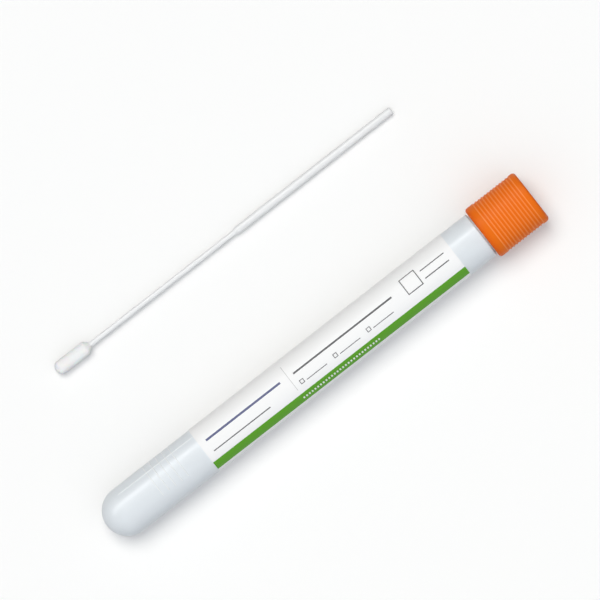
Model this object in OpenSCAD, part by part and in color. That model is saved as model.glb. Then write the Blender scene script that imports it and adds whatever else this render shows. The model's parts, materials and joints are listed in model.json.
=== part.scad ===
// Specimen swab tube: a round-bottomed moulded tube with a screw cap, a sealing
// liner and a wrap-round label, lying on a surface beside its own swab.
//
// Each piece is modelled upright about the Z axis, with z = 0 at the tube's round
// tip or at the swab's tip, and is then laid down on the surface by lay_tube() or
// lay_swab(). The origin is on the surface, at the middle of the footprint; +X runs
// along the tube towards its cap and +Z is up. The "crown" is the line of the
// upright tube that faces straight up once the tube is laid down. Angles are counted
// round from it, and those on the swab's side are positive.

/* [Tube] */
// Outside diameter of the tube's body
tube_d = 16; // [15:0.5:17]
// Wall of the tube's body
tube_wall = 1.0; // [0.7:0.1:1.3]
// Length of the body, from the round tip to the shoulder
body_len = 148.9; // [140:0.1:170]
// Width of the bevel round the shoulder's edge
shoulder_bevel = 0.4; // [0.2:0.1:0.6]

/* [Neck and thread] */
// Outside diameter of the neck, between the threads
neck_d = 14.2; // [13.6:0.1:14.4]
// Wall of the neck
neck_wall = 1.1; // [0.9:0.1:1.5]
// Width of the bevels round the neck's rim
rim_bevel = 0.3; // [0.1:0.1:0.4]
// Height of the threads, on the neck and in the cap
thread_h = 0.75; // [0.5:0.05:0.8]
// Distance between neighbouring thread ridges
thread_pitch = 3; // [2.6:0.1:3.2]
// Number of thread starts, spread evenly round the neck
thread_starts = 2; // [1:1:2]
// Turns that each thread ridge runs
thread_turns = 1; // [0.75:0.25:1.25]
// Width of a thread ridge at its crest
thread_crest_w = 0.8; // [0.5:0.1:0.9]
// Slope of a thread's flanks from the radial, in degrees
thread_flank = 28; // [20:1:30]
// Gap between a thread's crest and the wall that it faces
thread_play = 0.2; // [0.15:0.05:0.3]
// Distance from the rim down to the upper end of the neck's thread
thread_from_rim = 3; // [2.6:0.1:4]

/* [Cap] */
// Outside diameter of the cap
cap_d = 18.7; // [18.4:0.1:19.6]
// Height of the cap
cap_h = 19.6; // [18:0.1:22]
// Thickness of the cap's top
cap_top_t = 1.4; // [1:0.1:2]
// Radius of the cap's top edge
cap_edge_r = 1.2; // [0.6:0.1:1.6]
// Radius of the outer edge of the cap's skirt
skirt_edge_r = 1.0; // [0.4:0.1:1.1]
// Bevel round the inner edge of the skirt, which leads the neck in
skirt_lead_in = 0.2; // [0.1:0.1:0.3]
// Number of raised grip rings round the cap
grip_rings = 13; // [6:1:14]
// Width of a grip ring at its crest
grip_ring_w = 0.34; // [0.2:0.02:0.44]
// How far a grip ring's sloping side runs out at its foot
grip_ring_flare = 0.08; // [0.04:0.02:0.12]
// Depth of the grooves between the grip rings
grip_depth = 0.22; // [0.1:0.02:0.3]
// Plain band from the skirt's edge to the first grip ring
skirt_band = 3.2; // [2.6:0.1:4]
// Plain band from the last grip ring to the top
top_band = 2.2; // [2:0.1:3]
// Gap between the closed cap's skirt and the tube's shoulder
skirt_gap = 0.3; // [0.2:0.1:0.6]
// Diameter of the moulding dimple in the cap's top
dimple_d = 4; // [2:0.5:6]
// Depth of that dimple
dimple_depth = 0.3; // [0.1:0.1:0.5]

/* [Liner] */
// Thickness of the sealing liner
liner_t = 1.0; // [0.6:0.1:1.5]
// Gap between the liner's edge and the cap's wall
liner_play = 0.3; // [0.2:0.05:0.4]
// How far the bead that holds the liner stands in from the cap's wall
bead_h = 0.55; // [0.45:0.05:0.6]
// Height of that bead along the cap
bead_w = 0.8; // [0.6:0.1:1]
// Gap between the liner and the bead below it
bead_gap = 0.1; // [0.05:0.05:0.2]

/* [Graduations] */
// Number of moulded graduation marks
grad_count = 5; // [3:1:7]
// Distance between graduation marks
grad_pitch = 2.5; // [1.5:0.1:2.6]
// Height of the lowest mark above the round tip
grad_from_tip = 20.1; // [12:0.1:21]
// Width of a mark at its foot
grad_w = 0.36; // [0.2:0.02:0.5]
// How far a mark stands out from the wall
grad_h = 0.12; // [0.06:0.02:0.2]
// Where the marks start, in degrees round from the crown
grad_start_angle = -24; // [-40:1:-10]
// Where the marks end, in degrees round from the crown
grad_end_angle = 78; // [60:1:85]
// Where the fine line along the tube lies, in degrees round from the crown
line_angle = 45; // [20:1:55]
// Where that line starts, above the round tip
line_from_tip = 9; // [8.5:0.5:12]
// Gap between that line's upper end and the label
line_to_label = 0.4; // [0.2:0.1:2]

/* [Label] */
// Length of the label along the tube
label_len = 100; // [80:1:105]
// Width of the label round the tube
label_w = 45; // [40:0.5:46]
// Thickness of the label
label_t = 0.1; // [0.08:0.01:0.14]
// Distance from the round tip to the label's lower end
label_from_tip = 38.6; // [37:0.1:40]
// Radius of the label's corners
label_corner_r = 1.5; // [0.5:0.1:3]
// Width of the printed band that runs along the label
band_w = 3.9; // [2:0.1:6]
// Where the band's middle lies, in degrees round from the crown
band_angle = -49; // [-70:1:-30]
// Thickness of the band's ink
ink_t = 0.02; // [0.01:0.01:0.04]

/* [Swab] */
// Length of the whole swab
swab_len = 133.2; // [120:0.1:150]
// Diameter of the flocked tip
tip_d = 5.0; // [3.6:0.1:5.6]
// Length of the flocked tip
tip_len = 13.5; // [11:0.1:18]
// Length of the tip's rounded nose
tip_nose = 1.9; // [1.2:0.1:2.5]
// Length of the tip's sloping shoulder
tip_shoulder = 2.0; // [1.4:0.1:4]
// Diameter of the thin shaft
shaft_d = 1.7; // [1.2:0.1:2]
// Diameter of the handle
handle_d = 2.6; // [2.3:0.1:3.2]
// Length of the handle
handle_len = 62.6; // [50:0.1:75]
// Length of the cone between the shaft and the handle
handle_cone = 1.1; // [0.6:0.1:2]
// Radius round the handle's end
handle_end_r = 0.5; // [0.2:0.1:0.8]
// Distance from the tip's end to the end of the shaft inside it
shaft_cover = 2.2; // [1.6:0.1:4]
// Bevel round the shaft's end inside the tip
shaft_bevel = 0.3; // [0.1:0.1:0.4]
// Gap between the shaft and the tip, for the adhesive
tip_glue_gap = 0.02; // [0.01:0.01:0.04]

/* [Layout] */
// Distance between the tube's axis and the swab's
swab_offset = 48.2; // [30:0.1:70]
// How far the swab's tip lies along the tube from the tube's round tip
swab_along = 17.4; // [5:0.1:30]

/* [Hidden] */
$fn = 96;

clear_plastic = [0.87, 0.90, 0.93, 0.6];
cap_orange = [0.93, 0.40, 0.10];
liner_white = [0.93, 0.93, 0.90];
label_white = [0.98, 0.98, 0.98];
band_green = [0.30, 0.58, 0.16];
shaft_white = [0.92, 0.94, 0.96];
flock_white = [0.97, 0.97, 0.96];

past = 1;                             // how far a cutting shape runs past its face

tube_r = tube_d / 2;
bore_r = tube_r - tube_wall;
neck_r = neck_d / 2;
mouth_r = neck_r - neck_wall;
cap_r = cap_d / 2;
tip_r = tip_d / 2;
shaft_r = shaft_d / 2;
handle_r = handle_d / 2;

// Heights of the closed cap, from its skirt up, and of the rim that its liner seals
skirt_z = body_len + skirt_gap;
cap_top_z = skirt_z + cap_h;
rim_z = cap_top_z - cap_top_t - liner_t;

// The bore narrows to the neck's in a cone that stays a wall's thickness inside
cone_top_z = body_len - tube_wall;
cone_foot_z = cone_top_z - 2 * (bore_r - mouth_r);

// The cap's bore clears the neck's thread, and its own thread clears the neck
cap_bore_r = neck_r + thread_h + thread_play;
thread_lead = thread_pitch * thread_starts;
thread_foot_w = thread_crest_w + 2 * thread_h * tan(thread_flank);
neck_thread_z = rim_z - thread_from_rim - thread_lead * thread_turns;
cap_thread_z = neck_thread_z - thread_pitch / 2;
thread_sink = 0.3;                    // how deep a ridge's foot reaches into its wall
thread_steps = 36;                    // facets per turn
thread_fade = 4;                      // facets over which a ridge's end fades out

liner_r = cap_bore_r - liner_play;
grip_pitch = (cap_h - skirt_band - top_band) / (grip_rings - 1);

label_r = tube_r + label_t;
label_sweep = label_w / label_r * 180 / PI;
band_sweep = band_w / label_r * 180 / PI;
mark_sink = 0.05;                     // how deep a mark's foot reaches into the wall

handle_z = swab_len - handle_len;
tip_foot_z = tip_len - tip_shoulder;

// The tilt at which two round shapes on one axis touch the same surface: a ball of
// radius near_r, and a rounded edge of radius edge_r that swings about the axis at
// radius arm_r, the distance reach further along
function resting_tilt(near_r, arm_r, edge_r, reach) =
    atan2(arm_r, reach) - asin((near_r - edge_r) / norm([reach, arm_r]));

// The tube rests on the ball of its tip and on the rounded edge of the cap's skirt
tube_tilt = resting_tilt(tube_r, cap_r - skirt_edge_r, skirt_edge_r,
                         skirt_z + skirt_edge_r - tube_r);
// The swab rests on the foot of its tip's shoulder and on the end of its handle
swab_reach = swab_len - handle_end_r - tip_foot_z;
swab_tilt = -resting_tilt(handle_end_r, tip_r, 0, swab_reach)
    + atan2(handle_r - handle_end_r, swab_reach);

// The footprint's middle is the origin
tube_x_low = -tube_r;
tube_x_high = (cap_top_z - cap_edge_r - tube_r) * cos(tube_tilt)
    + (cap_r - cap_edge_r) * sin(tube_tilt) + cap_edge_r;
tube_x = -(tube_x_low + tube_x_high) / 2;
tube_y = -(swab_offset + tip_r - cap_r) / 2;

// Lays the upright tube down: the centre of its tip's ball goes to tube_x
module lay_tube()
    translate([tube_x, tube_y, tube_r])
        rotate([0, 90 - tube_tilt, 0])
            translate([0, 0, -tube_r])
                children();

// Lays the upright swab down beside the tube, on its tip and its handle
module lay_swab()
    translate([tube_x - tube_r + swab_along, tube_y + swab_offset,
               tip_r * cos(swab_tilt) - tip_foot_z * sin(swab_tilt)])
        rotate([0, 90 - swab_tilt, 0])
            children();

// Turns an upright piece so that its +X line goes to an angle round from the crown
module from_crown(angle) rotate([0, 0, 180 - angle]) children();

// A quarter of a disc, from straight down to straight out
module quarter_disc(r)
    intersection() {
        circle(r = r);
        translate([0, -r]) square(r);
    }

// Foot, crest, crest and foot of a thread ridge where it has run i of its facets
function ridge_ring(i, count, wall_r, side) =
    let (turn = 360 * i / thread_steps,
         fade = min(1, i / thread_fade, (count - i) / thread_fade),
         foot_r = wall_r - side * thread_sink,
         crest_r = wall_r + side * (fade * thread_h - (1 - fade) * thread_sink / 2),
         z = thread_lead * i / thread_steps,
         half_foot = thread_foot_w / 2,
         half_crest = thread_crest_w / 2)
    [for (p = [[foot_r, -half_foot], [crest_r, -half_crest],
               [crest_r, half_crest], [foot_r, half_foot]])
        [p[0] * cos(turn), p[0] * sin(turn), z + p[1]]];

// A right-handed thread ridge on a wall of radius wall_r. It stands outwards where
// side is 1 and inwards where side is -1.
module thread_ridge(wall_r, side) {
    count = round(thread_steps * thread_turns);
    points = [for (i = [0:count]) each ridge_ring(i, count, wall_r, side)];
    wound = [for (i = [0:count - 1], k = [0:3])
        let (a = 4 * i + k, b = 4 * i + (k + 1) % 4)
        each [[a, b, b + 4], [a, b + 4, a + 4]]];
    last = 4 * count;
    ends = [[0, 3, 2], [0, 2, 1], [last, last + 1, last + 2], [last, last + 2, last + 3]];
    faces = concat(wound, ends);
    polyhedron(points, side > 0 ? faces : [for (f = faces) [f[2], f[1], f[0]]]);
}

// All the ridges of a thread, the first starting at height z
module thread(wall_r, side, z)
    for (start = [0:thread_starts - 1])
        translate([0, 0, z])
            rotate([0, 0, 360 * start / thread_starts])
                thread_ridge(wall_r, side);

module tube_outline() {
    translate([0, tube_r]) quarter_disc(tube_r);
    polygon([[0, tube_r], [tube_r, tube_r],
             [tube_r, body_len - shoulder_bevel], [tube_r - shoulder_bevel, body_len],
             [neck_r, body_len], [neck_r, rim_z - rim_bevel],
             [neck_r - rim_bevel, rim_z], [0, rim_z]]);
}

module tube_hollow() {
    translate([0, tube_r]) quarter_disc(bore_r);
    polygon([[0, tube_r], [bore_r, tube_r], [bore_r, cone_foot_z], [mouth_r, cone_top_z],
             [mouth_r, rim_z - rim_bevel], [mouth_r + rim_bevel, rim_z],
             [mouth_r + rim_bevel, rim_z + past], [0, rim_z + past]]);
}

// Low section of a moulded mark, standing out from x = 0
module mark_section()
    polygon([[-mark_sink, -grad_w / 2], [0, -grad_w / 2], [grad_h, -grad_w / 4],
             [grad_h, grad_w / 4], [0, grad_w / 2], [-mark_sink, grad_w / 2]]);

// The graduation marks, and the fine line that runs through them to the label
module graduations() {
    for (i = [0:grad_count - 1])
        translate([0, 0, grad_from_tip + i * grad_pitch])
            from_crown(grad_end_angle)
                rotate_extrude(angle = grad_end_angle - grad_start_angle)
                    translate([tube_r, 0]) mark_section();
    from_crown(line_angle)
        translate([tube_r, 0, line_from_tip])
            linear_extrude(label_from_tip - line_to_label - line_from_tip) mark_section();
}

module tube()
    color(clear_plastic) lay_tube() {
        rotate_extrude() difference() {
            tube_outline();
            tube_hollow();
        }
        graduations();
        thread(neck_r, 1, neck_thread_z);
    }

// One groove between two grip rings, cut into the cap's side
module grip_groove() {
    flare_past = grip_ring_flare * past / grip_depth;
    polygon([[cap_r - grip_depth, grip_ring_w / 2 + grip_ring_flare],
             [cap_r + past, grip_ring_w / 2 - flare_past],
             [cap_r + past, grip_pitch - grip_ring_w / 2 + flare_past],
             [cap_r - grip_depth, grip_pitch - grip_ring_w / 2 - grip_ring_flare]]);
}

module cap_outline()
    difference() {
        union() {
            polygon([[0, 0], [cap_r - skirt_edge_r, 0], [cap_r - skirt_edge_r, skirt_edge_r],
                     [cap_r, skirt_edge_r], [cap_r, cap_h - cap_edge_r],
                     [cap_r - cap_edge_r, cap_h - cap_edge_r],
                     [cap_r - cap_edge_r, cap_h], [0, cap_h]]);
            translate([cap_r - skirt_edge_r, skirt_edge_r]) circle(r = skirt_edge_r);
            translate([cap_r - cap_edge_r, cap_h - cap_edge_r]) circle(r = cap_edge_r);
        }
        for (i = [0:grip_rings - 2])
            translate([0, skirt_band + i * grip_pitch]) grip_groove();
        translate([-past, cap_h - dimple_depth])
            square([past + dimple_d / 2, dimple_depth + past]);
    }

// The bead that the liner is snapped in behind, seen in section
module liner_bead() {
    top = cap_h - cap_top_t - liner_t - bead_gap;
    polygon([[cap_bore_r + past, top], [cap_bore_r, top],
             [cap_bore_r - bead_h, top - bead_w / 3],
             [cap_bore_r - bead_h, top - bead_w * 2 / 3],
             [cap_bore_r, top - bead_w], [cap_bore_r + past, top - bead_w]]);
}

module cap_hollow()
    difference() {
        polygon([[0, -past], [cap_bore_r + skirt_lead_in, -past],
                 [cap_bore_r + skirt_lead_in, 0], [cap_bore_r, skirt_lead_in],
                 [cap_bore_r, cap_h - cap_top_t], [0, cap_h - cap_top_t]]);
        liner_bead();
    }

module cap()
    color(cap_orange) lay_tube() {
        translate([0, 0, skirt_z]) rotate_extrude() difference() {
            cap_outline();
            cap_hollow();
        }
        thread(cap_bore_r, -1, cap_thread_z);
    }

// The disc that the cap presses onto the tube's rim
module cap_liner()
    color(liner_white) lay_tube()
        translate([0, 0, rim_z]) cylinder(h = liner_t, r = liner_r);

// A film round the tube between two angles and two radii, as long as the label
module film(from_angle, to_angle, inner_r, outer_r)
    from_crown(to_angle)
        rotate_extrude(angle = to_angle - from_angle)
            translate([inner_r, label_from_tip]) square([outer_r - inner_r, label_len]);

// What is cut away to round one corner of the label. way and up are 1 or -1, and say
// on which side of the corner the label lies.
module label_corner(way, up)
    from_crown(-way * label_sweep / 2)
        translate([0, 0, label_from_tip + (1 - up) / 2 * label_len])
            rotate([90, 0, 90]) linear_extrude(2 * tube_r)
                scale([-way, up]) difference() {
                    translate([-past, -past]) square(past + label_corner_r);
                    translate([label_corner_r, label_corner_r]) circle(r = label_corner_r);
                }

module label()
    lay_tube() {
        color(label_white) difference() {
            film(-label_sweep / 2, label_sweep / 2, tube_r, label_r);
            for (up = [1, -1], way = [1, -1]) label_corner(way, up);
        }
        color(band_green)
            film(band_angle - band_sweep / 2, band_angle + band_sweep / 2,
                 label_r - label_t / 2, label_r + ink_t);
    }

module swab_shaft()
    color(shaft_white) lay_swab() rotate_extrude() {
        polygon([[0, shaft_cover], [shaft_r - shaft_bevel, shaft_cover],
                 [shaft_r, shaft_cover + shaft_bevel], [shaft_r, handle_z],
                 [handle_r, handle_z + handle_cone], [handle_r, swab_len - handle_end_r],
                 [handle_r - handle_end_r, swab_len - handle_end_r],
                 [handle_r - handle_end_r, swab_len], [0, swab_len]]);
        translate([handle_r - handle_end_r, swab_len - handle_end_r]) circle(r = handle_end_r);
    }

// Radius of one of the tip's ends, which falls from the tip's own to end_r over a share
// of its length: 2 is a quarter of an ellipse, and 1 a plain cone
function end_curve(share, end_r, fullness) =
    end_r + (tip_r - end_r) * pow(1 - pow(share, fullness), 1 / fullness);
nose_fullness = 2;
shoulder_fullness = 1.35;

module swab_tip() {
    socket_r = shaft_r + tip_glue_gap;
    nose = [for (turn = [90:-7.5:0])
        [end_curve(sin(turn), 0, nose_fullness), tip_nose * (1 - sin(turn))]];
    shoulder = [for (turn = [0:9:90])
        [end_curve(sin(turn), shaft_r, shoulder_fullness), tip_foot_z + tip_shoulder * sin(turn)]];
    color(flock_white) lay_swab() rotate_extrude() difference() {
        polygon(concat(nose, shoulder, [[0, tip_len]]));
        translate([-past, shaft_cover - tip_glue_gap]) square([past + socket_r, tip_len]);
    }
}

tube();
cap();
cap_liner();
label();
swab_shaft();
swab_tip();
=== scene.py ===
"""Looks of the specimen swab tube: finishes, the flocked tip, the floor and the light."""
import json
import math
import random

import bmesh
import bpy
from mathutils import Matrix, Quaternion, Vector


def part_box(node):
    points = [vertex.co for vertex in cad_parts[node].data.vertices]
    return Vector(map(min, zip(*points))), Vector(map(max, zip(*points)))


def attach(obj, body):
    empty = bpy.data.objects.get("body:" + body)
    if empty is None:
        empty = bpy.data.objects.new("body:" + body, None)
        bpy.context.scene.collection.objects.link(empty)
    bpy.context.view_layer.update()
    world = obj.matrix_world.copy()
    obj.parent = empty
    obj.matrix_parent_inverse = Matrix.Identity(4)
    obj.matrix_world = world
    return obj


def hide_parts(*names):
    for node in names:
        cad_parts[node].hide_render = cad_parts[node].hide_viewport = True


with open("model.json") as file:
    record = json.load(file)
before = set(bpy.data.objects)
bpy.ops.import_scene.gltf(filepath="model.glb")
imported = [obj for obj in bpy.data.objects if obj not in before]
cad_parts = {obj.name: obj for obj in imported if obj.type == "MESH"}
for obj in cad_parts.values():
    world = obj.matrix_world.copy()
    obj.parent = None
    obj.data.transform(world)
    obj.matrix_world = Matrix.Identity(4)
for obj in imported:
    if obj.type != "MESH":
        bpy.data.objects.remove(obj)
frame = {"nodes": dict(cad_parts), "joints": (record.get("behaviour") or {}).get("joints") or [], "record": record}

bl_info = {
    "name": "Specimen Swab Tube",
    "version": (1, 0, 0),
    "blender": (4, 5, 0),
    "location": "View3D > Sidebar > Swab Tube",
    "description": "Dresses a capped specimen tube and its swab, and lights them",
    "category": "Object",
}

MM = 0.001

WHITE = (1.0, 1.0, 1.0)

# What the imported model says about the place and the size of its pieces
TURN = next(joint for joint in frame["joints"] if joint["name"] == "cap_turn")
TUBE = next(mount for mount in frame["record"]["mounts"] if mount["name"] == "tube_body")
TUBE_AXIS = Vector(TURN["axis"]).normalized()
TUBE_POINT = Vector(TURN["pos_m"])
TUBE_RADIUS = TUBE["dims"]["r_mm"] * MM
LABEL_LOW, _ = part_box("label")
CAP_LOW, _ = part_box("cap")
TIP_LOW, TIP_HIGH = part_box("swab_tip")
SHAFT_LOW, SHAFT_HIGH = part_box("swab_shaft")
TIP_RADIUS = (TIP_HIGH.y - TIP_LOW.y) / 2
HANDLE_RADIUS = (SHAFT_HIGH.y - SHAFT_LOW.y) / 2
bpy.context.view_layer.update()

# How far above the tube's wall a raised mark starts to take its painted highlight, and where that painted
# highlight is full
RAISED_HIGHLIGHT_START, RAISED_HIGHLIGHT_FULL = 0.02 * MM, 0.08 * MM

# The cap, along it from its skirt: its plain bands and the grip rings between them
CAP_HEIGHT = 19.6 * MM
SKIRT_BAND = 3.2 * MM
TOP_BAND = 2.2 * MM
GRIP_RINGS = 13
GRIP_PITCH = (CAP_HEIGHT - SKIRT_BAND - TOP_BAND) / (GRIP_RINGS - 1)
# How far the cap's tilt sets the middle of its skirt in from the end of its box
SKIRT_TILT = 0.08 * MM
# A crest's paler line, a painted highlight: half its width and where it has faded out beside the crest, and the
# radius where it starts and where it is full
CREST_HIGHLIGHT_HALF, CREST_HIGHLIGHT_FADE = 0.10 * MM, 0.24 * MM
CREST_HIGHLIGHT_START, CREST_HIGHLIGHT_FULL = 9.16 * MM, 9.30 * MM
# The cap's painted shade at its rounded ends: how far each reaches along it, the radius where they start and where
# they are full, and how much of their darker colour they take
SKIRT_EDGE_SHADE, TOP_EDGE_SHADE = 2.1 * MM, 0.6 * MM
EDGE_SHADE_START, EDGE_SHADE_FULL = 7.6 * MM, 8.8 * MM
EDGE_SHADE_COVER = 0.75

# The label's print, in mm: along the label from its end at the tube's round end, and round
# the tube from its crown, positive toward the swab. A rule has a start, an end and a place.
FILM_THICKNESS = 0.1 * MM
BAND_PLACE = -6.93
HEADING = (2.6, 32.0, 2.2)
BROAD_RULE = (37.0, 76.0, 1.9)
RULES = ((2.6, 25.0, -2.0), (88.0, 97.4, 2.9), (88.0, 97.4, 0.0))
BOX_MIDDLE = (83.7, 1.9)
DIVIDER = (34.9, 35.1, -3.3, 6.7)
TICK_START, TICK_PITCH, TICK_COUNT = 37.8, 13.2, 3
TICK_PLACE, TICK_SIDE = -1.7, 1.5
TICK_RULE_END = 0.72 * TICK_PITCH
TICK_RULE_PLACE = TICK_PLACE - 0.35 * TICK_SIDE
DASHES_START, DASHES_END = 34.8, 65.4
DASH_PITCH, DASH_LENGTH, DASH_WIDTH = 1.10, 0.54, 0.84
# Widths of the print's lines
HEADING_WIDTH = 0.75 * MM
BROAD_WIDTH = 0.60 * MM
BOX_LINE = 0.32 * MM
TICK_LINE = 0.24 * MM
TICK_RULE_WIDTH = 0.26 * MM
# How fully the print covers the film
INK_COVER = 0.9
DIVIDER_COVER = 0.35

# The bud, in mm: each step out along it and the radius reached, for its nose and its
# shoulder, and how far short of the end of its box the shoulder stops
NOSE = ((0.35, 2.42), (0.35, 2.24), (0.35, 1.94), (0.30, 1.55), (0.20, 1.15), (0.10, 0.70))
SHOULDER = ((0.30, 2.42), (0.35, 2.18), (0.40, 1.80), (0.40, 1.42), (0.35, 1.12))
SHOULDER_SLACK = 0.25
# The last step out, to the point that closes the nose, and the bore round the shaft
NOSE_TIP = 0.03
BORE_DEPTH, BORE_RADIUS, BORE_STEPS = 9.5, 0.93, 4
# The outside is all that lies past this radius, or more than this far out along the nose
SKIN_RADIUS, SKIN_NOSE = 1.05, 0.5
# Its sides round it, and the length of one ring of its barrel
BUD_SIDES = 48
BUD_RING = 0.36
# How squarely a face looks along the bud where it closes one of its ends
END_FACING = 0.9
# How finely the faces are told apart when they are put in order by their places, because
# the editing leaves them in an order that varies from run to run
PLACE_STEP = 0.01
# The nap's cloud patterns: name, grain in mm and share of the nap's depth
NAP = (("swell", 1.6, 0.5), ("tufts", 0.42, 1.0), ("fibres", 0.16, 0.6))
# The fibres: their number, the seed of their draws, how far one leans to any side, and the
# shortest one as a share of the longest
FIBRES = 9000
FIBRE_SEED = 11
FIBRE_LEAN = 0.6
SHORTEST_FIBRE = 0.4

# The world's light: its even part, and three soft glows. A glow has a strength, a lean from
# straight up toward the swab's side, and a turn about the vertical, in degrees.
EVEN_LIGHT = 0.05
TOP_GLOW = (0.46, -4, 0)
FILL_GLOW = (0.52, -62, 0)
END_GLOW = (0.35, 70, 90)
AMBIENT_TINT = (0.95, 0.985, 1.03)

# The lamps. Each leans toward the swab's side, in degrees. The key's share is its part of
# the light on a level surface, and its angle its width in the sky.
KEY_LEAN, KEY_SHARE, KEY_ANGLE = 20.0, 0.52, 34.0
KEY_TINT = (1.01, 0.99, 0.94)
KEY_PLACE = (0, 0.5, 1.0)
STRIP_LEAN, STRIP_DISTANCE, STRIP_ENERGY = 41, 1.2, 31.0
STRIP_LENGTH, STRIP_WIDTH = 4.0, 0.16

# The floor: its side, the white it adds where it is seen, and the grey with which it lights
FLOOR_SIDE = 12.0
FLOOR_LIFT = 0.12
FLOOR_BOUNCE = (0.52, 0.52, 0.52)

# The camera: the middle of its view, the turn of its frame in degrees, and its range
VIEW_MIDDLE = Vector((6.9 * MM, -1.9 * MM, 0.0))
VIEW_TURN = -37.92
CLIP_START, CLIP_END = 0.5, 40.0


def on_tube_axis(x):
    """The point of the tube's axis at that x."""
    return TUBE_POINT + TUBE_AXIS * ((x - TUBE_POINT.x) / TUBE_AXIS.x)


def swab_axis():
    """Middle of the ball at the swab's nose, and how far the swab leans down to its handle."""
    ball = Vector((TIP_LOW.x + TIP_RADIUS, (TIP_LOW.y + TIP_HIGH.y) / 2, TIP_HIGH.z - TIP_RADIUS))
    lean = math.atan2(ball.z - HANDLE_RADIUS, SHAFT_HIGH.x - ball.x)
    return ball, lean


# ---------------------------------------------------------------------------
# Shader building


class Varying:
    """A number that varies over a surface. Arithmetic on it adds Math nodes."""

    def __init__(self, nodes, socket):
        self.nodes = nodes
        self.socket = socket

    def math(self, operation, *others):
        """Adds one Math node on this number and the others."""
        values = dict(enumerate([self, *others]))
        node = self.nodes.add("ShaderNodeMath", {"operation": operation}, values)
        return Varying(self.nodes, node.outputs[0])

    def __add__(self, other):
        return self.math("ADD", other)

    __radd__ = __add__

    def __mul__(self, other):
        return self.math("MULTIPLY", other)

    __rmul__ = __mul__

    def __sub__(self, other):
        return self.math("SUBTRACT", other)

    def __rsub__(self, other):
        return (self * -1.0) + other

    def __gt__(self, other):
        return self.math("GREATER_THAN", other)

    def __lt__(self, other):
        return self.math("LESS_THAN", other)

    def __abs__(self):
        return self.math("ABSOLUTE")

    def within(self, low, high):
        """1 between the two limits and 0 outside them."""
        return (self > low) * (self < high)

    def smooth(self, low, high):
        """Rises smoothly from 0 at low to 1 at high."""
        node = self.nodes.add("ShaderNodeMapRange", {"interpolation_type": "SMOOTHSTEP"},
                              {0: self, 1: low, 2: high})
        return Varying(self.nodes, node.outputs[0])


class Nodes:
    """The nodes of a material or of the world."""

    def __init__(self, owner):
        owner.use_nodes = True
        self.tree = owner.node_tree
        self.tree.nodes.clear()

    def add(self, kind, options, sockets):
        """Adds a node: its options first, then the values or links of its sockets."""
        node = self.tree.nodes.new(kind)
        for name, value in options.items():
            setattr(node, name, value)
        for name, value in sockets.items():
            if isinstance(name, str):
                name = name.replace("_", " ")
            self.feed(node.inputs[name], value)
        return node

    def feed(self, socket, value):
        """Links a socket to what varies, or sets it to a constant."""
        if isinstance(value, Varying):
            value = value.socket
        if isinstance(value, bpy.types.NodeSocket):
            self.tree.links.new(value, socket)
        elif socket.type == "RGBA" and len(value) == 3:
            socket.default_value = (*value, 1.0)
        else:
            socket.default_value = value

    def seen(self):
        """1 for what is seen, straight, in a gloss or through a wall, and 0 for what lights."""
        rays = self.add("ShaderNodeLightPath", {}, {}).outputs
        mirrored = Varying(self, rays["Is Glossy Ray"]).math("MAXIMUM", rays["Is Transmission Ray"])
        return mirrored.math("MAXIMUM", rays["Is Camera Ray"])


class Finish(Nodes):
    """A material under construction, with one Principled shader."""

    def __init__(self, name, **sockets):
        self.material = bpy.data.materials.new(name)
        super().__init__(self.material)
        self.shader = self.add("ShaderNodeBsdfPrincipled", {}, sockets)
        self.out = self.add("ShaderNodeOutputMaterial", {}, {"Surface": self.shader.outputs[0]})

    def set(self, name, value):
        """Feeds one socket of the shader."""
        self.feed(self.shader.inputs[name], value)

    def place(self, point=(0, 0, 0), turn=(0, 0, 0), scale=(1, 1, 1)):
        """Object coordinates, seen from a point and turned with a piece."""
        coordinates = self.add("ShaderNodeTexCoord", {}, {})
        mapping = self.add("ShaderNodeMapping", {"vector_type": "TEXTURE"},
                            {"Vector": coordinates.outputs["Object"], "Location": point,
                             "Rotation": turn, "Scale": scale})
        return mapping.outputs[0]

    def split(self, vector):
        """The three parts of a vector."""
        parts = self.add("ShaderNodeSeparateXYZ", {}, {0: vector})
        return [Varying(self, socket) for socket in parts.outputs]

    def noise(self, vector, scale, detail=3.0):
        """A soft, uneven pattern between 0 and 1."""
        node = self.add("ShaderNodeTexNoise", {},
                         {"Vector": vector, "Scale": scale, "Detail": detail})
        return Varying(self, node.outputs["Fac"])

    def mix(self, share, low, high):
        """A colour between two colours."""
        node = self.add("ShaderNodeMix", {"data_type": "RGBA"}, {0: share, 6: low, 7: high})
        return node.outputs[2]

    def bump(self, height, strength, distance):
        """Makes the surface look uneven where the height varies."""
        node = self.add("ShaderNodeBump", {},
                         {"Height": height, "Strength": strength, "Distance": distance})
        self.set("Normal", node.outputs[0])

    def round_tube(self, x):
        """Distance along the tube from x, angle round it from its crown, and radius."""
        tilt = -math.asin(TUBE_AXIS.z)
        along, side, up = self.split(self.place(on_tube_axis(x), (0, tilt, 0)))
        angle = side.math("ARCTAN2", up)
        radius = (side * side + up * up).math("SQRT")
        return along, angle, radius


def dress(node, material):
    """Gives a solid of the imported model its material."""
    piece = frame["nodes"][node]
    piece.data.materials.clear()
    piece.data.materials.append(material)
    return piece


def select_faces(piece, wanted):
    """Selects, in edit mode, the faces that a test on centre and normal picks."""
    bpy.ops.mesh.select_all(action="DESELECT")
    mesh = bmesh.from_edit_mesh(piece.data)
    bpy.context.tool_settings.mesh_select_mode = (False, False, True)
    for face in mesh.faces:
        face.select_set(wanted(face.calc_center_median(), face.normal))
    bmesh.update_edit_mesh(piece.data)


def select_edges(piece, wanted):
    """Selects, in edit mode, the edges that a test on their two ends picks."""
    bpy.ops.mesh.select_all(action="DESELECT")
    bpy.context.tool_settings.mesh_select_mode = (False, True, False)
    mesh = bmesh.from_edit_mesh(piece.data)
    for edge in mesh.edges:
        edge.select_set(wanted(edge.verts[0].co, edge.verts[1].co))
    bmesh.update_edit_mesh(piece.data)


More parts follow.
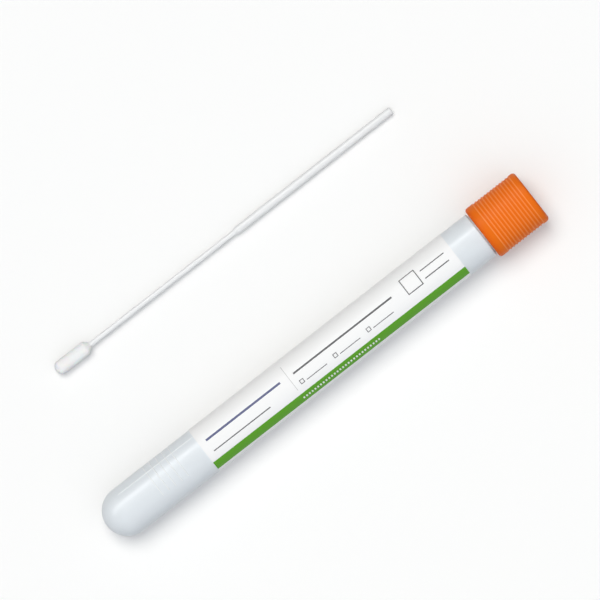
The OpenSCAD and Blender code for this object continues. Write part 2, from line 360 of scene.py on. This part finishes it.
def grow(out, width):
    """Extrudes the selected end face along the piece and sets its width against the last."""
    bpy.ops.mesh.extrude_region_move(TRANSFORM_OT_translate={"value": (0, 0, out)})
    bpy.ops.transform.resize(value=(width, width, 1.0))


def finish_with(piece, kind, **values):
    """Adds a modifier and applies it."""
    modifier = piece.modifiers.new(kind.title(), kind)
    for name, value in values.items():
        setattr(modifier, name, value)
    bpy.ops.object.modifier_apply(modifier=modifier.name)


def settings():
    """The colours and the sizes that a user may change."""
    return bpy.context.scene.swab_tube_colours, bpy.context.scene.swab_tube_sizes


def dim(tone, share):
    """A tone darkened to a share of its light."""
    return [share * part for part in tone]


# ---------------------------------------------------------------------------
# What a user may change


def colour(name, text, value):
    """A colour with its default, as linear values."""
    return bpy.props.FloatVectorProperty(name=name, description=text, default=value,
                                         subtype="COLOR", size=3, min=0.0, max=1.0)


def length(name, text, value):
    """A length with its default, in metres."""
    return bpy.props.FloatProperty(name=name, description=text, default=value,
                                   subtype="DISTANCE", unit="LENGTH", min=0.0)


class SwabTubeColours(bpy.types.PropertyGroup):
    """Colours of the pieces"""

    plastic: colour("Tube plastic", "Colour of the tube's frosted plastic", (0.862, 0.908, 0.950))
    # A painted highlight: the paler tone laid on the tube's raised marks
    raised_highlight: colour("Raised marks", "Colour of the tube's raised marks", (0.96, 0.985, 1.0))
    cap: colour("Cap", "Colour of the cap's plastic", (0.86, 0.165, 0.006))
    # Painted shade: the darker tone laid on the cap's rounded ends
    cap_edge_shade: colour("Cap edge", "Deeper colour of the cap's rounded edges", (0.72, 0.095, 0.003))
    # A painted highlight: the paler tone laid along the grip crests
    crest_highlight: colour("Grip crest", "Paler colour on the crests of the grip rings", (0.95, 0.31, 0.08))
    liner: colour("Liner", "Colour of the sealing liner", (0.80, 0.80, 0.76))
    film: colour("Label film", "Colour of the label's film", (0.95, 0.95, 0.955))
    band: colour("Band", "Colour of the label's long band", (0.105, 0.360, 0.017))
    ink: colour("Ink", "Colour of the label's fine print", (0.02, 0.02, 0.025))
    heading: colour("Heading ink", "Colour of the label's heading rule", (0.02, 0.035, 0.17))
    shaft: colour("Swab shaft", "Colour of the swab's moulded shaft", (0.95, 0.96, 0.97))
    flock: colour("Flock", "Colour of the swab's flocked tip", (0.98, 0.98, 0.98))
    floor: colour("Floor", "Colour of the floor", (0.97, 0.97, 0.97))


class SwabTubeSizes(bpy.types.PropertyGroup):
    """Sizes of the print, the flock and the view"""

    band_width: length("Band width", "Width of the label's long band", 3.9 * MM)
    rule_width: length("Rule width", "Width of a write-on rule", 0.36 * MM)
    box_side: length("Box side", "Side of the label's square box", 5.9 * MM)
    nap: length("Nap", "Depth of the flock's uneven nap", 0.10 * MM)
    fibre_length: length("Fibre length", "How far the longest fibres stand out", 0.17 * MM)
    fibre_width: length("Fibre width", "Width of a fibre at its root", 0.035 * MM)
    view_width: length("View width", "Width of what the camera sees", 188.5 * MM)
    camera_height: length("Camera height", "Height of the camera above the floor", 5.0)


# ---------------------------------------------------------------------------
# Finishes


def frosted_plastic():
    """The tube's frosted plastic, with a painted highlight paling its raised marks."""
    colours, _ = settings()
    finish = Finish("frosted_polypropylene", IOR=1.49, Transmission_Weight=0.15)
    _, _, radius = finish.round_tube(LABEL_LOW.x)
    grain = finish.noise(finish.place(scale=(4 * MM, 1 * MM, 1 * MM)), 1.0)
    # Painted highlight: the raised marks are paled where they stand above the wall
    raised_highlight = radius.smooth(TUBE_RADIUS + RAISED_HIGHLIGHT_START, TUBE_RADIUS + RAISED_HIGHLIGHT_FULL)
    tone = finish.mix(grain * 0.3, colours.plastic, dim(colours.plastic, 0.94))
    finish.set("Base Color", finish.mix(raised_highlight, tone, colours.raised_highlight))
    finish.set("Roughness", 0.29 + grain * 0.10)
    finish.bump(grain, strength=0.10, distance=0.02 * MM)
    return finish.material


def cap_plastic():
    """The cap's plastic, with a painted highlight on the crests of its grip rings and painted shade at its rounded
    edges.
    """
    colours, _ = settings()
    finish = Finish("cap_polyethylene", IOR=1.5, Specular_IOR_Level=0.09)
    along, _, radius = finish.round_tube(CAP_LOW.x + SKIRT_TILT)
    grain = finish.noise(finish.place(), scale=900.0)
    first = SKIRT_BAND - GRIP_PITCH / 2
    last = CAP_HEIGHT - TOP_BAND + GRIP_PITCH / 2
    # Painted highlight along each crest of the grip rings
    beside = (along - SKIRT_BAND).math("PINGPONG", GRIP_PITCH / 2)
    crest_highlight = 1.0 - beside.smooth(CREST_HIGHLIGHT_HALF, CREST_HIGHLIGHT_FADE)
    crest_highlight = crest_highlight * along.within(first, last) * radius.smooth(CREST_HIGHLIGHT_START, CREST_HIGHLIGHT_FULL)
    # Painted shade, darker toward the cap's two rounded ends
    edge = 1.0 - along.smooth(0.0, SKIRT_EDGE_SHADE) * (CAP_HEIGHT - along).smooth(0.0, TOP_EDGE_SHADE)
    edge = edge * radius.smooth(EDGE_SHADE_START, EDGE_SHADE_FULL)
    tone = finish.mix(edge * EDGE_SHADE_COVER, colours.cap, colours.cap_edge_shade)
    tone = finish.mix(crest_highlight, tone, colours.crest_highlight)
    finish.set("Base Color", finish.mix(grain * 0.2, tone, dim(colours.cap, 0.9)))
    finish.set("Roughness", 0.40 + grain * 0.10)
    finish.bump(grain, strength=0.08, distance=0.02 * MM)
    return finish.material


def liner_foam():
    """The sealing liner's fine-celled foam."""
    colours, _ = settings()
    finish = Finish("liner_foam")
    cells = finish.noise(finish.place(), scale=2400.0, detail=5.0)
    finish.set("Base Color", finish.mix(cells, colours.liner, dim(colours.liner, 0.85)))
    finish.set("Roughness", 0.7 + cells * 0.2)
    finish.bump(cells, strength=0.25, distance=0.05 * MM)
    return finish.material


def printed_film():
    """The label: film, its long band and plain write-on print."""
    colours, sizes = settings()
    finish = Finish("printed_film", IOR=1.45, Specular_IOR_Level=0.25)
    along, angle, _ = finish.round_tube(LABEL_LOW.x)
    arc = angle * (TUBE_RADIUS + FILM_THICKNESS)
    from_band = abs(arc - BAND_PLACE * MM)

    def rule(start, end, place, width):
        """A line along the label."""
        return along.within(start * MM, end * MM) * (abs(arc - place * MM) < width / 2)

    def square(x, place, side, line):
        """The outline of a square round its middle."""
        reach = abs(along - x * MM).math("MAXIMUM", abs(arc - place * MM))
        return reach.within(side / 2 - line, side / 2)

    def patch(start, end, low, high):
        """A plain patch between two ends along the label and two places round it."""
        return along.within(start * MM, end * MM) * arc.within(low * MM, high * MM)

    def tick_box(x):
        """A small box with a short rule after it."""
        box = square(x, TICK_PLACE, TICK_SIDE * MM, TICK_LINE)
        return box + rule(x + TICK_SIDE, x + TICK_RULE_END, TICK_RULE_PLACE, TICK_RULE_WIDTH)

    print_ink = rule(*BROAD_RULE, BROAD_WIDTH) + square(*BOX_MIDDLE, sizes.box_side, BOX_LINE)
    for place in RULES:
        print_ink = print_ink + rule(*place, sizes.rule_width)
    for number in range(TICK_COUNT):
        print_ink = print_ink + tick_box(TICK_START + number * TICK_PITCH)
    beside = along.math("PINGPONG", DASH_PITCH / 2 * MM)
    dashes = along.within(DASHES_START * MM, DASHES_END * MM) * (beside < DASH_LENGTH / 2 * MM)
    dashes = dashes * (from_band < DASH_WIDTH / 2 * MM)
    band = from_band < sizes.band_width / 2

    fibres = finish.noise(finish.place(scale=(3 * MM, 0.6 * MM, 0.6 * MM)), 1.0, detail=5.0)
    tone = finish.mix(fibres * 0.5, colours.film, dim(colours.film, 0.97))
    tone = finish.mix(patch(*DIVIDER) * DIVIDER_COVER, tone, colours.ink)
    tone = finish.mix(print_ink * INK_COVER, tone, colours.ink)
    tone = finish.mix(rule(*HEADING, HEADING_WIDTH) * INK_COVER, tone, colours.heading)
    green = finish.mix(dashes * INK_COVER, colours.band, colours.film)
    finish.set("Base Color", finish.mix(band, tone, green))
    finish.set("Roughness", 0.42 + fibres * 0.12 - band * 0.1)
    finish.bump(fibres, strength=0.06, distance=0.02 * MM)
    return finish.material


def shaft_plastic():
    """The swab's moulded plastic, with faint streaks along it."""
    colours, _ = settings()
    finish = Finish("shaft_plastic", IOR=1.5, Transmission_Weight=0.15)
    streaks = finish.noise(finish.place(scale=(6 * MM, 0.4 * MM, 0.4 * MM)), 1.0)
    finish.set("Base Color", finish.mix(streaks * 0.4, colours.shaft, dim(colours.shaft, 0.92)))
    finish.set("Roughness", 0.29 + streaks * 0.1)
    finish.bump(streaks, strength=0.1, distance=0.02 * MM)
    return finish.material


def flock():
    """The bud's soft white flock."""
    colours, _ = settings()
    finish = Finish("white_flock", Sheen_Weight=0.5, Sheen_Roughness=0.4,
                    Subsurface_Weight=0.2, Subsurface_Scale=0.6 * MM)
    nap = finish.noise(finish.place(), scale=4200.0, detail=6.0)
    finish.set("Base Color", finish.mix(nap, colours.flock, dim(colours.flock, 0.88)))
    finish.set("Roughness", 0.85 + nap * 0.1)
    finish.bump(nap, strength=0.5, distance=0.08 * MM)
    return finish.material


# ---------------------------------------------------------------------------
# Operators


class DressTube(bpy.types.Operator):
    """Gives the tube its frosted, translucent plastic"""

    bl_idname = "swab_tube.dress_tube"
    bl_label = "Tube"

    def execute(self, context):
        dress("tube", frosted_plastic())
        return {"FINISHED"}


class DressLabel(bpy.types.Operator):
    """Prints the label with its band and plain write-on rules"""

    bl_idname = "swab_tube.dress_label"
    bl_label = "Label"

    def execute(self, context):
        dress("label", printed_film())
        return {"FINISHED"}


class DressCap(bpy.types.Operator):
    """Gives the cap and its liner their finishes"""

    bl_idname = "swab_tube.dress_cap"
    bl_label = "Cap and liner"

    def execute(self, context):
        dress("cap", cap_plastic())
        dress("cap_liner", liner_foam())
        return {"FINISHED"}


class DressShaft(bpy.types.Operator):
    """Gives the swab's moulded shaft and handle their plastic"""

    bl_idname = "swab_tube.dress_shaft"
    bl_label = "Swab shaft"

    def execute(self, context):
        dress("swab_shaft", shaft_plastic())
        return {"FINISHED"}


def faces_in_order(bud):
    """Numbers of the bud's faces in the order of their places, the same on every run."""
    step = PLACE_STEP * MM
    places = [[round(part / step) for part in face.center] for face in bud.data.polygons]
    return sorted(range(len(places)), key=places.__getitem__)


def on_skin(point, barrel):
    """True on the bud's outside, and not in its bore."""
    beside_bore = math.hypot(point.x, point.y) > SKIN_RADIUS * MM
    return beside_bore or point.z < -barrel / 2 - SKIN_NOSE * MM


def add_fibres(bud, skin):
    """Sets short, pointed fibres on those faces of the bud, each leaning its own way."""
    _, sizes = settings()
    chance = random.Random(FIBRE_SEED)
    mesh = bmesh.new()
    mesh.from_mesh(bud.data)
    mesh.faces.ensure_lookup_table()
    skin = [mesh.faces[index] for index in skin]
    chosen = chance.choices(skin, k=FIBRES)
    roots = [(face.calc_center_median(), face.normal.copy()) for face in chosen]
    for root, normal in roots:
        lean = Vector([chance.uniform(-FIBRE_LEAN, FIBRE_LEAN) for _ in range(3)])
        share = chance.uniform(SHORTEST_FIBRE, 1.0)
        along = (normal + lean).normalized() * share * sizes.fibre_length
        side = along.orthogonal().normalized() * sizes.fibre_width / 2
        foot = root - normal * sizes.fibre_width
        turn = Quaternion(along.normalized(), math.tau / 3)
        ring = []
        for _ in range(3):
            ring.append(mesh.verts.new(foot + side))
            side = turn @ side
        point = mesh.verts.new(root + along)
        mesh.faces.new(reversed(ring))
        for first, second in zip(ring, ring[1:] + ring[:1]):
            mesh.faces.new((first, second, point))
    mesh.to_mesh(bud.data)
    mesh.free()


def shape_end(bud, steps, side):
    """Draws one end of the bud out through its steps, to a closed nose or an open bore."""
    select_faces(bud, lambda centre, normal: normal.z * side > END_FACING)
    last = TIP_RADIUS / MM
    for out, radius in steps:
        grow(side * out * MM, radius / last)
        last = radius
    if side < 0:
        tip = (0, 0, -NOSE_TIP * MM)
        bpy.ops.mesh.extrude_region_move(TRANSFORM_OT_translate={"value": tip})
        bpy.ops.mesh.merge(type="CENTER")
        return
    bpy.ops.mesh.inset(thickness=(last - BORE_RADIUS) * MM)
    for _ in range(BORE_STEPS):
        grow(-BORE_DEPTH / BORE_STEPS * MM, 1.0)


def raise_nap(bud, barrel):
    """Makes the bud's outside uneven, and leaves its bore smooth."""
    _, sizes = settings()
    outside = bud.vertex_groups.new(name="outside")
    skin = [vertex.index for vertex in bud.data.vertices if on_skin(vertex.co, barrel)]
    outside.add(skin, 1.0, "REPLACE")
    for name, grain, share in NAP:
        clouds = bpy.data.textures.new(name, "CLOUDS")
        clouds.noise_scale = grain * MM
        clouds.noise_depth = 2
        finish_with(bud, "DISPLACE", texture=clouds, texture_coords="LOCAL", mid_level=0.5,
                    strength=sizes.nap * share, vertex_group="outside")


class ModelBud(bpy.types.Operator):
    """Models the swab's bud with its short, uneven flock"""

    bl_idname = "swab_tube.model_bud"
    bl_label = "Flocked bud"

    def execute(self, context):
        _, sizes = settings()
        full = (TIP_HIGH.x - TIP_LOW.x) / MM - SHOULDER_SLACK
        nose = sum(step for step, _ in NOSE)
        shoulder = sum(step for step, _ in SHOULDER)
        barrel = (full - nose - shoulder) * MM
        bpy.ops.object.select_all(action="DESELECT")
        bpy.ops.mesh.primitive_cylinder_add(
            vertices=BUD_SIDES, radius=TIP_RADIUS - sizes.fibre_length, depth=barrel,
            end_fill_type="NGON")
        bud = context.object
        bud.name = "flocked_bud"
        bpy.ops.object.mode_set(mode="EDIT")
        select_edges(bud, lambda start, end: abs(start.z - end.z) > barrel / 2)
        bpy.ops.mesh.subdivide(number_cuts=round(barrel / (BUD_RING * MM)))
        shape_end(bud, NOSE, -1.0)
        shape_end(bud, SHOULDER, 1.0)
        bpy.ops.mesh.select_all(action="SELECT")
        bpy.ops.mesh.normals_make_consistent(inside=False)
        bpy.ops.object.mode_set(mode="OBJECT")
        finish_with(bud, "SUBSURF", levels=2, render_levels=2)
        order = faces_in_order(bud)
        raise_nap(bud, barrel)
        faces = bud.data.polygons
        add_fibres(bud, [index for index in order if on_skin(faces[index].center, barrel)])
        ball, lean = swab_axis()
        middle = (full / 2 - shoulder / 2 + nose / 2) * MM - TIP_RADIUS
        bud.rotation_euler = (0, math.pi / 2 + lean, 0)
        bud.location = ball + Vector((math.cos(lean), 0, -math.sin(lean))) * middle
        bpy.ops.object.transform_apply(location=True, rotation=True, scale=True)
        bpy.ops.object.shade_smooth()
        bud.data.materials.append(flock())
        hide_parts("swab_tip")
        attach(bud, "tube_body")
        return {"FINISHED"}


class SetStage(bpy.types.Operator):
    """Adds the floor, the light and the camera"""

    bl_idname = "swab_tube.set_stage"
    bl_label = "Stage"

    def execute(self, context):
        add_floor()
        add_world()
        add_lamps()
        add_camera()
        return {"FINISHED"}


def add_floor():
    """A plain pale floor that keeps the object's shadow."""
    colours, _ = settings()
    bpy.ops.object.select_all(action="DESELECT")
    bpy.ops.mesh.primitive_plane_add(size=FLOOR_SIDE)
    floor = bpy.context.object
    floor.name = "floor"
    finish = Finish("floor_white", Roughness=0.9, Specular_IOR_Level=0.0)
    finish.set("Base Color", finish.mix(finish.seen(), FLOOR_BOUNCE, colours.floor))
    white = finish.add("ShaderNodeEmission", {}, {"Color": WHITE, "Strength": 1.0})
    lift = finish.add("ShaderNodeMixShader", {}, {0: finish.seen() * FLOOR_LIFT,
                                                  1: finish.shader.outputs[0],
                                                  2: white.outputs[0]})
    finish.feed(finish.out.inputs["Surface"], lift.outputs[0])
    floor.data.materials.append(finish.material)


def add_world():
    """Lights with an even part and three soft glows, and shows white behind the object."""
    world = bpy.data.worlds.new("studio")
    bpy.context.scene.world = world
    nodes = Nodes(world)
    direction = nodes.add("ShaderNodeTexCoord", {}, {}).outputs["Generated"]

    def glow(strength, lean, turn):
        """Light that falls off round one direction."""
        lean = math.radians(lean)
        middle = Vector((0, math.sin(lean), math.cos(lean)))
        middle.rotate(Quaternion((0, 0, 1), math.radians(turn)))
        towards = nodes.add("ShaderNodeVectorMath", {"operation": "DOT_PRODUCT"},
                            {0: direction, 1: middle})
        facing = Varying(nodes, towards.outputs["Value"]).math("MAXIMUM", 0.0)
        return facing * facing * strength

    level = glow(*TOP_GLOW) + glow(*FILL_GLOW) + glow(*END_GLOW) + EVEN_LIGHT
    ambient = nodes.add("ShaderNodeBackground", {}, {"Color": AMBIENT_TINT, "Strength": level})
    white = nodes.add("ShaderNodeBackground", {}, {"Color": WHITE})
    mix = nodes.add("ShaderNodeMixShader", {}, {0: nodes.seen(), 1: ambient.outputs[0],
                                                2: white.outputs[0]})
    nodes.add("ShaderNodeOutputWorld", {}, {"Surface": mix.outputs[0]})


def add_lamp(name, kind, place, lean):
    """A lamp on the swab's side, turned that far from straight down to face the tube."""
    bpy.ops.object.light_add(type=kind, location=place, rotation=(-lean, 0, 0))
    lamp = bpy.context.object
    lamp.name = name
    return lamp


def add_lamps():
    """A broad key light and a long strip, whose reflection runs along the tube."""
    lean = math.radians(KEY_LEAN)
    key = add_lamp("key", "SUN", KEY_PLACE, lean)
    key.data.color = KEY_TINT
    key.data.energy = math.pi * KEY_SHARE / math.cos(lean)
    key.data.angle = math.radians(KEY_ANGLE)
    key.visible_glossy = False
    lean = math.radians(STRIP_LEAN)
    place = (0, STRIP_DISTANCE * math.sin(lean), STRIP_DISTANCE * math.cos(lean))
    strip = add_lamp("strip", "AREA", place, lean)
    strip.data.shape = "RECTANGLE"
    strip.data.size = STRIP_LENGTH
    strip.data.size_y = STRIP_WIDTH
    strip.data.energy = STRIP_ENERGY
    strip.visible_diffuse = False


def add_camera():
    """A distant camera that looks straight down."""
    _, sizes = settings()
    scene = bpy.context.scene
    place = VIEW_MIDDLE + Vector((0, 0, sizes.camera_height))
    bpy.ops.object.camera_add(location=place, rotation=(0, 0, math.radians(VIEW_TURN)))
    camera = bpy.context.object
    camera.data.lens = camera.data.sensor_width * sizes.camera_height / sizes.view_width
    camera.data.clip_start = CLIP_START
    camera.data.clip_end = CLIP_END
    scene.camera = camera
    scene.view_settings.view_transform = "Standard"


# ---------------------------------------------------------------------------
# Panel and registration

STEPS = (DressTube, DressLabel, DressCap, DressShaft, ModelBud, SetStage)


class SwabTubePanel(bpy.types.Panel):
    """Lists the pieces of the swab tube"""

    bl_idname = "VIEW3D_PT_swab_tube"
    bl_label = "Swab Tube"
    bl_space_type = "VIEW_3D"
    bl_region_type = "UI"
    bl_category = "Swab Tube"

    def draw(self, context):
        layout = self.layout
        for step in STEPS:
            layout.operator(step.bl_idname)
        for group in settings():
            for name in group.bl_rna.properties.keys():
                if name not in ("rna_type", "name"):
                    layout.prop(group, name)


CLASSES = (SwabTubeColours, SwabTubeSizes, *STEPS, SwabTubePanel)


def register():
    for cls in CLASSES:
        bpy.utils.register_class(cls)
    bpy.types.Scene.swab_tube_colours = bpy.props.PointerProperty(type=SwabTubeColours)
    bpy.types.Scene.swab_tube_sizes = bpy.props.PointerProperty(type=SwabTubeSizes)


def unregister():
    del bpy.types.Scene.swab_tube_sizes
    del bpy.types.Scene.swab_tube_colours
    for cls in reversed(CLASSES):
        bpy.utils.unregister_class(cls)


def main():
    """Builds every piece in turn."""
    register()
    for step in STEPS:
        group, name = step.bl_idname.split(".")
        getattr(getattr(bpy.ops, group), name)()


if __name__ == "__main__":
    main()
